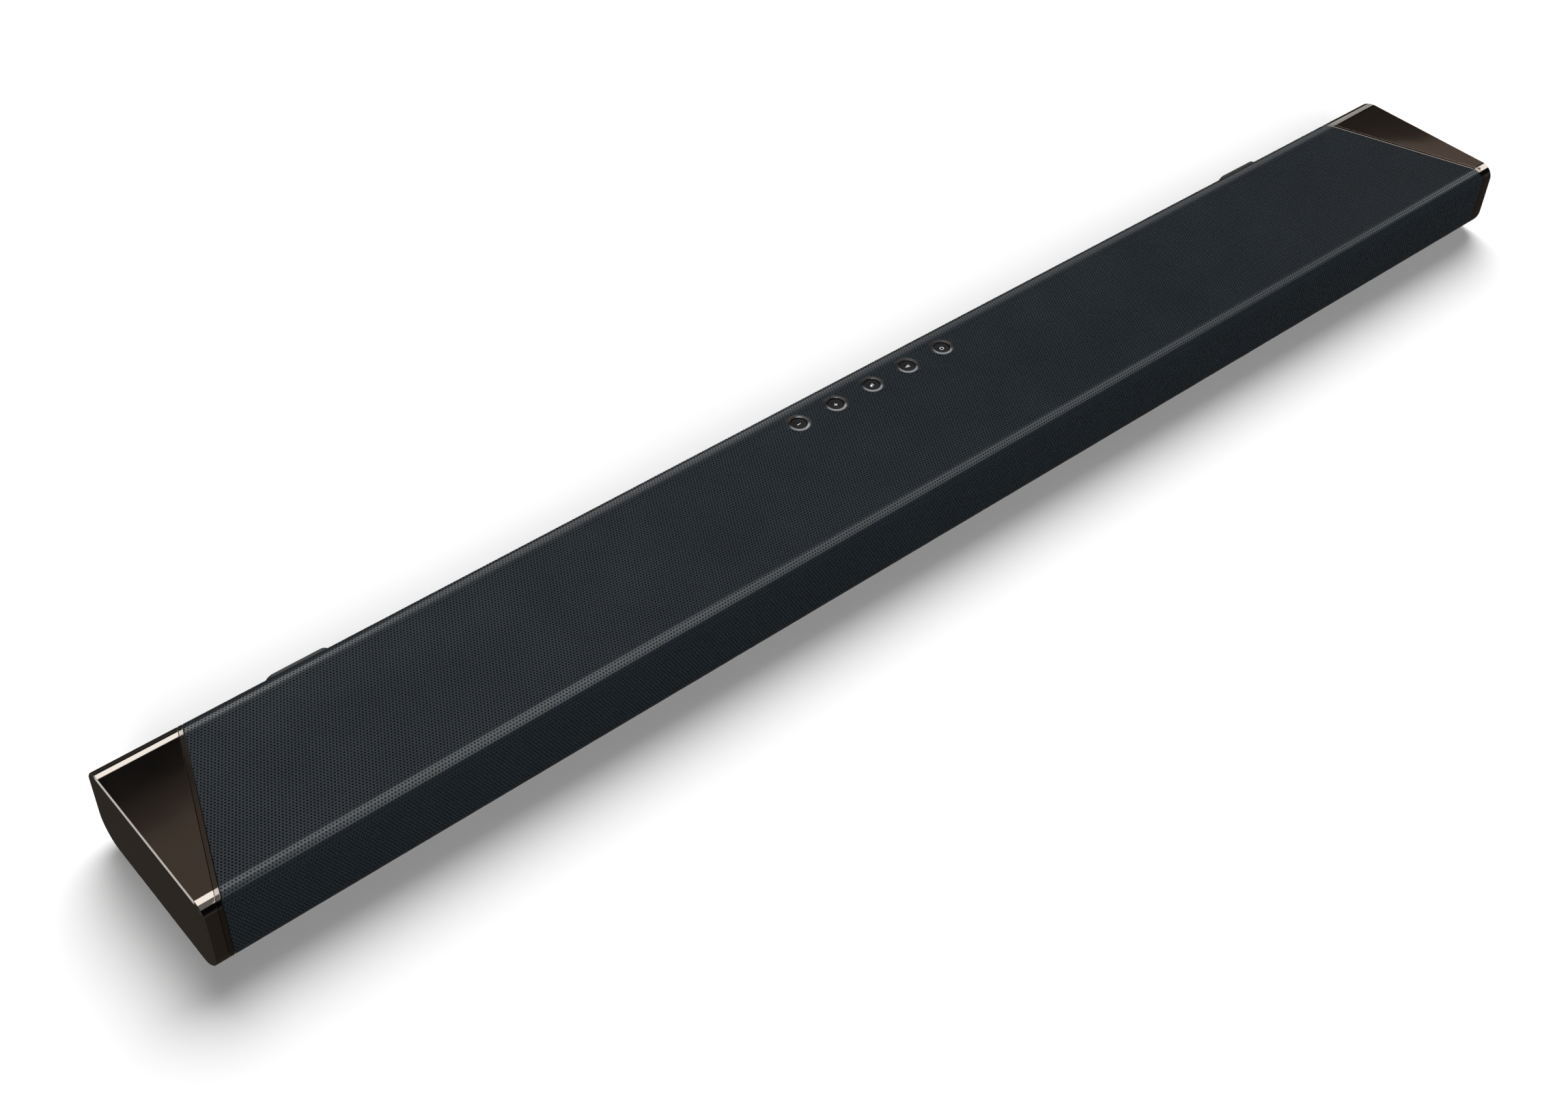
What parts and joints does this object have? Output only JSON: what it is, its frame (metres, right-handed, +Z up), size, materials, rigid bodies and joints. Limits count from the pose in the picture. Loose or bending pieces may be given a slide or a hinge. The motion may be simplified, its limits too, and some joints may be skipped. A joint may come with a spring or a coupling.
{
  "type": "soundbar",
  "caption": "Long low speaker bar with a wrap-round perforated grille, angled gloss bronze end caps, top buttons and keyhole brackets on the rear.",
  "frame": {"origin": "on the table, under the middle of the whole part's box (feet at z = 0, brackets included)", "axes": "+X along the bar towards its right end, -Y out of the front, +Y out of the rear, +Z up"},
  "size_m": [1.035, 0.1292, 0.0547],
  "materials": {
    "housing_plastic": "black, fine spark-eroded texture",
    "cabinet_plastic": "black, plain moulded",
    "grille_steel": "charcoal powder coat on perforated steel sheet",
    "acoustic_cloth": "black open-weave speaker cloth",
    "bronze_gloss": "dark bronze metallic lacquer, high gloss, with a bright-cut edge",
    "bezel_gloss": "dark bronze metallic lacquer, high gloss",
    "button_gloss": "black, satin gloss, with a pale printed symbol",
    "ring_metal": "dark anodised, polished slope",
    "circuit_board": "green solder mask",
    "switch_steel": "tinned",
    "basket_steel": "grey-black paint",
    "magnet_ferrite": "sintered ferrite with plated steel plates",
    "spider_cloth": "resin-treated cotton",
    "surround_rubber": "soft matt rubber",
    "cone_paper": "coated paper pulp",
    "tweeter_plastic": "moulded flange",
    "dome_silk": "coated silk",
    "screw_steel": "zinc plated",
    "chip_epoxy": "moulded epoxy",
    "sink_aluminium": "extruded, natural",
    "shield_tin": "tin plated sheet",
    "socket_plastic": "black nylon",
    "winding_tape": "yellow polyester tape",
    "capacitor_sleeve": "shrink sleeve",
    "light_lens": "clear diffused resin",
    "sensor_lens": "dark infrared filter resin",
    "lead_insulation": "flexible insulation",
    "bracket_plastic": "black glass-filled nylon",
    "foot_rubber": "soft rubber"
  },
  "bodies": {
    "bar": {"lower_housing": "housing_plastic", "upper_cabinet": "cabinet_plastic", "grille": "grille_steel", "grille_cloth": "acoustic_cloth", "left_end_cap": "bronze_gloss", "right_end_cap": "bronze_gloss", "left_bezel": "bezel_gloss", "right_bezel": "bezel_gloss", "button_rings": "ring_metal", "button_carrier": "cabinet_plastic", "button_board": "circuit_board", "button_switches": "switch_steel", "woofer_baskets": "basket_steel", "woofer_magnets": "magnet_ferrite", "woofer_spiders": "spider_cloth", "woofer_surrounds": "surround_rubber", "tweeter_bodies": "tweeter_plastic", "tweeter_magnets": "magnet_ferrite", "tweeter_domes": "dome_silk", "driver_screws": "screw_steel", "main_board": "circuit_board", "main_board_chips": "chip_epoxy", "amplifier_heat_sink": "sink_aluminium", "wireless_module": "shield_tin", "hdmi_sockets": "shield_tin", "optical_socket": "socket_plastic", "aux_socket": "socket_plastic", "usb_socket": "shield_tin", "power_board": "circuit_board", "mains_inlet": "socket_plastic", "transformer_core": "magnet_ferrite", "transformer_winding": "winding_tape", "power_capacitors": "capacitor_sleeve", "power_heat_sink": "sink_aluminium", "indicator_board": "circuit_board", "status_lights": "light_lens", "remote_sensor": "sensor_lens", "left_speaker_leads": "lead_insulation", "right_speaker_leads": "lead_insulation", "power_leads": "lead_insulation", "left_wall_bracket": "bracket_plastic", "right_wall_bracket": "bracket_plastic", "bracket_screws": "screw_steel", "housing_screws": "screw_steel", "cap_screws": "screw_steel", "board_screws": "screw_steel", "button_screws": "screw_steel", "rubber_feet": "foot_rubber"},
    "power_button": {"power_button": "button_gloss"},
    "source_button": {"source_button": "button_gloss"},
    "mute_button": {"mute_button": "button_gloss"},
    "volume_up_button": {"volume_up_button": "button_gloss"},
    "volume_down_button": {"volume_down_button": "button_gloss"},
    "far_left_cone": {"far_left_cone": "cone_paper"},
    "near_left_cone": {"near_left_cone": "cone_paper"},
    "near_right_cone": {"near_right_cone": "cone_paper"},
    "far_right_cone": {"far_right_cone": "cone_paper"}
  },
  "joints": [
    {"name": "power_press", "type": "slide", "parent": "bar", "child": "power_button", "axis": [0, 0, -1], "range_m": [0, 0.0006], "stiffness_N_per_m": 2500},
    {"name": "source_press", "type": "slide", "parent": "bar", "child": "source_button", "axis": [0, 0, -1], "range_m": [0, 0.0006], "stiffness_N_per_m": 2500},
    {"name": "mute_press", "type": "slide", "parent": "bar", "child": "mute_button", "axis": [0, 0, -1], "range_m": [0, 0.0006], "stiffness_N_per_m": 2500},
    {"name": "volume_up_press", "type": "slide", "parent": "bar", "child": "volume_up_button", "axis": [0, 0, -1], "range_m": [0, 0.0006], "stiffness_N_per_m": 2500},
    {"name": "volume_down_press", "type": "slide", "parent": "bar", "child": "volume_down_button", "axis": [0, 0, -1], "range_m": [0, 0.0006], "stiffness_N_per_m": 2500},
    {"name": "far_left_stroke", "type": "slide", "parent": "bar", "child": "far_left_cone", "axis": [0, -1, 0], "range_m": [-0.0025, 0.0025], "stiffness_N_per_m": 900, "deforming": ["woofer_surrounds", "woofer_spiders"]},
    {"name": "near_left_stroke", "type": "slide", "parent": "bar", "child": "near_left_cone", "axis": [0, -1, 0], "range_m": [-0.0025, 0.0025], "stiffness_N_per_m": 900, "deforming": ["woofer_surrounds", "woofer_spiders"]},
    {"name": "near_right_stroke", "type": "slide", "parent": "bar", "child": "near_right_cone", "axis": [0, -1, 0], "range_m": [-0.0025, 0.0025], "stiffness_N_per_m": 900, "deforming": ["woofer_surrounds", "woofer_spiders"]},
    {"name": "far_right_stroke", "type": "slide", "parent": "bar", "child": "far_right_cone", "axis": [0, -1, 0], "range_m": [-0.0025, 0.0025], "stiffness_N_per_m": 900, "deforming": ["woofer_surrounds", "woofer_spiders"]}
  ]
}
